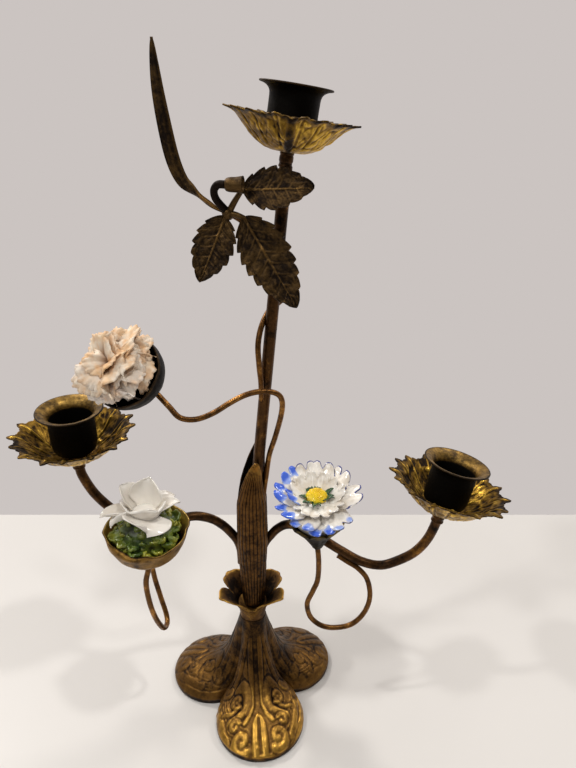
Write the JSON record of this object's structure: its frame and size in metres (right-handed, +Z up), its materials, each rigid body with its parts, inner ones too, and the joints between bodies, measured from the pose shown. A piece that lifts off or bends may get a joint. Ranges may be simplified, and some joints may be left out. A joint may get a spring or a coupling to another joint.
{
  "type": "tabletop candelabra",
  "caption": "Tabletop candelabra of aged gilt brass with candle nozzles over leafy drip pans, porcelain flowers on wires, a leaf sprig and a lobed scroll base.",
  "frame": {"origin": "the point of the table under the axis of the upright lower stem, at the centre of the base", "axes": "+Z up along the lower stem, +X towards the lower candle arm on the viewer's right, -Y towards the viewer"},
  "size_m": [0.2624, 0.1061, 0.3771],
  "materials": {
    "base_brass": "cast, aged gilt with dark brown recesses",
    "rod_brass": "drawn rod, brown patina rubbed to gold",
    "sheath_brass": "ribbed, gold ridges and dark grooves",
    "pan_brass": "stamped, bright gilt with black recesses",
    "nozzle_brass": "dark patina outside, gilt funnel inside",
    "cup_brass": "thin gilt sheet, dulled",
    "leaf_brass": "stamped leaf, dark bronze with lighter veins",
    "plain_brass": "turned",
    "carnation_bisque": "matte bisque, cream with peach tints",
    "white_glaze": "glossy white glaze",
    "moss_glaze": "mottled green glaze",
    "daisy_glaze": "white glaze with cobalt blue tips",
    "yellow_glaze": "granular yellow"
  },
  "bodies": {
    "root": {"base_foot": "base_brass", "base_washer": "plain_brass", "base_nut": "plain_brass", "collar": "base_brass", "stem": "rod_brass", "sheath_front": "sheath_brass", "sheath_back": "sheath_brass", "arm_left": "rod_brass", "arm_right": "rod_brass", "ferrule_top": "plain_brass", "ferrule_left": "plain_brass", "ferrule_right": "plain_brass", "carnation_wire": "rod_brass", "carnation_bowl": "cup_brass", "carnation_bloom": "carnation_bisque", "magnolia_wire": "rod_brass", "magnolia_cup": "cup_brass", "magnolia_leaves": "moss_glaze", "magnolia_bloom": "white_glaze", "daisy_wire": "rod_brass", "daisy_cup": "cup_brass", "daisy_petals": "daisy_glaze", "daisy_centre": "yellow_glaze", "sprig_tendril": "rod_brass", "leaf_right": "leaf_brass", "leaf_left": "leaf_brass", "leaf_large": "leaf_brass", "blade_leaf": "leaf_brass", "bud_wire": "leaf_brass", "bud_cup": "leaf_brass", "sprig_knot": "leaf_brass"},
    "pan_top": {"pan_top": "pan_brass"},
    "spacer_top": {"spacer_top": "plain_brass"},
    "nozzle_top": {"nozzle_top": "nozzle_brass", "screw_top": "plain_brass"},
    "pan_left": {"pan_left": "pan_brass"},
    "spacer_left": {"spacer_left": "plain_brass"},
    "nozzle_left": {"nozzle_left": "nozzle_brass", "screw_left": "plain_brass"},
    "pan_right": {"pan_right": "pan_brass"},
    "spacer_right": {"spacer_right": "plain_brass"},
    "nozzle_right": {"nozzle_right": "nozzle_brass", "screw_right": "plain_brass"}
  },
  "joints": [
    {"name": "pan_top_turn", "type": "hinge", "parent": "root", "child": "pan_top", "pos_m": [0.02169, 0.00987, 0.3313], "axis": [0.1513, 0, 0.9885], "continuous": true},
    {"name": "nozzle_top_rise", "type": "slide", "parent": "root", "child": "spacer_top", "axis": [0.1513, 0, 0.9885], "range_m": [0, 0.0028]},
    {"name": "nozzle_top_unscrew", "type": "hinge", "parent": "spacer_top", "child": "nozzle_top", "pos_m": [0.02169, 0.00987, 0.3313], "axis": [0.1513, 0, 0.9885], "range_deg": [0, 1440]},
    {"name": "pan_left_turn", "type": "hinge", "parent": "root", "child": "pan_left", "pos_m": [-0.0905, -0.0115, 0.18], "axis": [0, -0.0523, 0.9986], "continuous": true},
    {"name": "nozzle_left_rise", "type": "slide", "parent": "root", "child": "spacer_left", "axis": [0, -0.0523, 0.9986], "range_m": [0, 0.0028]},
    {"name": "nozzle_left_unscrew", "type": "hinge", "parent": "spacer_left", "child": "nozzle_left", "pos_m": [-0.0905, -0.0115, 0.18], "axis": [0, -0.0523, 0.9986], "range_deg": [0, 1440]},
    {"name": "pan_right_turn", "type": "hinge", "parent": "root", "child": "pan_right", "pos_m": [0.103, -0.025, 0.155], "axis": [0.2244, 0.0698, 0.972], "continuous": true},
    {"name": "nozzle_right_rise", "type": "slide", "parent": "root", "child": "spacer_right", "axis": [0.2244, 0.0698, 0.972], "range_m": [0, 0.0028]},
    {"name": "nozzle_right_unscrew", "type": "hinge", "parent": "spacer_right", "child": "nozzle_right", "pos_m": [0.103, -0.025, 0.155], "axis": [0.2244, 0.0698, 0.972], "range_deg": [0, 1440]}
  ],
  "couplings": [
    {"joint": "nozzle_top_unscrew", "follows": "nozzle_top_rise", "rad_per_m": 8975.9},
    {"joint": "nozzle_left_unscrew", "follows": "nozzle_left_rise", "rad_per_m": 8975.9},
    {"joint": "nozzle_right_unscrew", "follows": "nozzle_right_rise", "rad_per_m": 8975.9}
  ]
}
